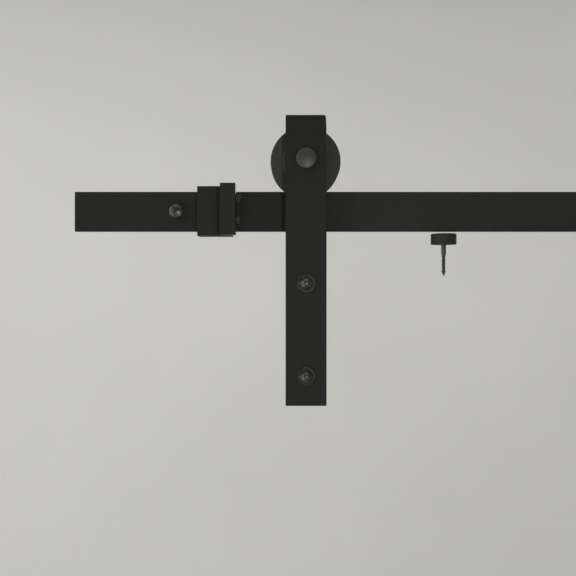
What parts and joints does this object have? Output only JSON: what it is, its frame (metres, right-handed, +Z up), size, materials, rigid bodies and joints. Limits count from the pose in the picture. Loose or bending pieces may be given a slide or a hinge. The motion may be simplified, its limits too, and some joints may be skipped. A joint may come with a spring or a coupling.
{
  "type": "barn door track",
  "caption": "Flat steel sliding-door rail on wall standoffs, with bent-strap hangers on grooved ball-bearing wheels, anti-jump discs and clamp-on end stops.",
  "frame": {"origin": "on the wall plane, at the middle of the line of five wall fixings", "axes": "+X along the rail to the right as seen from the room, +Y into the wall, +Z up"},
  "size_m": [2.006, 0.1354, 0.2894],
  "materials": {
    "black_powder_coat": "fine-textured satin black powder coat",
    "black_wheel": "satin black coat on turned steel",
    "black_fastener": "semi-gloss black coating on steel",
    "bumper_rubber": "matt black rubber",
    "bearing_steel": "ground bearing steel",
    "cage_brass": "pressed brass"
  },
  "bodies": {
    "track": {"track_rail": "black_powder_coat", "standoff_1": "black_powder_coat", "standoff_2": "black_powder_coat", "standoff_3": "black_powder_coat", "standoff_4": "black_powder_coat", "standoff_5": "black_powder_coat", "lag_screws": "black_fastener", "lag_washers": "black_fastener", "left_stop": "black_powder_coat", "left_stop_upper_bumper": "bumper_rubber", "left_stop_lower_bumper": "bumper_rubber", "left_stop_set_screws": "black_fastener", "right_stop": "black_powder_coat", "right_stop_upper_bumper": "bumper_rubber", "right_stop_lower_bumper": "bumper_rubber", "right_stop_set_screws": "black_fastener"},
    "left_hanger": {"left_strap": "black_powder_coat", "left_axle_bolt": "black_fastener", "left_axle_washer": "black_fastener", "left_axle_nut": "black_fastener", "left_front_bushing": "bearing_steel", "left_rear_bushing": "bearing_steel", "left_bearing_spacer": "bearing_steel", "left_inner_rings": "bearing_steel", "left_door_bolts": "black_fastener", "left_door_washers": "black_fastener", "left_anti_jump_disc": "black_powder_coat", "left_disc_screw": "black_fastener"},
    "left_wheel_body": {"left_wheel": "black_wheel", "left_outer_rings": "bearing_steel", "left_bearing_shields": "black_fastener"},
    "left_ball_set": {"left_bearing_balls": "bearing_steel", "left_bearing_cages": "cage_brass"},
    "right_hanger": {"right_strap": "black_powder_coat", "right_axle_bolt": "black_fastener", "right_axle_washer": "black_fastener", "right_axle_nut": "black_fastener", "right_front_bushing": "bearing_steel", "right_rear_bushing": "bearing_steel", "right_bearing_spacer": "bearing_steel", "right_inner_rings": "bearing_steel", "right_door_bolts": "black_fastener", "right_door_washers": "black_fastener", "right_anti_jump_disc": "black_powder_coat", "right_disc_screw": "black_fastener"},
    "right_wheel_body": {"right_wheel": "black_wheel", "right_outer_rings": "bearing_steel", "right_bearing_shields": "black_fastener"},
    "right_ball_set": {"right_bearing_balls": "bearing_steel", "right_bearing_cages": "cage_brass"}
  },
  "joints": [
    {"name": "left_hanger_slide", "type": "slide", "parent": "track", "child": "left_hanger", "axis": [1, 0, 0], "range_m": [-0.0439, 0.7763]},
    {"name": "left_wheel_spin", "type": "hinge", "parent": "left_hanger", "child": "left_wheel_body", "pos_m": [-0.7702, -0.041, 0.0493], "axis": [0, 1, 0], "continuous": true},
    {"name": "left_ball_set_spin", "type": "hinge", "parent": "left_hanger", "child": "left_ball_set", "pos_m": [-0.7702, -0.041, 0.0493], "axis": [0, 1, 0], "continuous": true},
    {"name": "right_hanger_slide", "type": "slide", "parent": "track", "child": "right_hanger", "axis": [1, 0, 0], "range_m": [-0.0439, 0.7763]},
    {"name": "right_wheel_spin", "type": "hinge", "parent": "right_hanger", "child": "right_wheel_body", "pos_m": [0.0378, -0.041, 0.0493], "axis": [0, 1, 0], "continuous": true},
    {"name": "right_ball_set_spin", "type": "hinge", "parent": "right_hanger", "child": "right_ball_set", "pos_m": [0.0378, -0.041, 0.0493], "axis": [0, 1, 0], "continuous": true}
  ],
  "couplings": [
    {"joint": "left_wheel_spin", "follows": "left_hanger_slide", "rad_per_m": 34.247},
    {"joint": "left_ball_set_spin", "follows": "left_hanger_slide", "rad_per_m": 21.651},
    {"joint": "right_wheel_spin", "follows": "left_hanger_slide", "rad_per_m": 34.247},
    {"joint": "right_ball_set_spin", "follows": "left_hanger_slide", "rad_per_m": 21.651},
    {"joint": "right_hanger_slide", "follows": "left_hanger_slide", "ratio": 1}
  ]
}
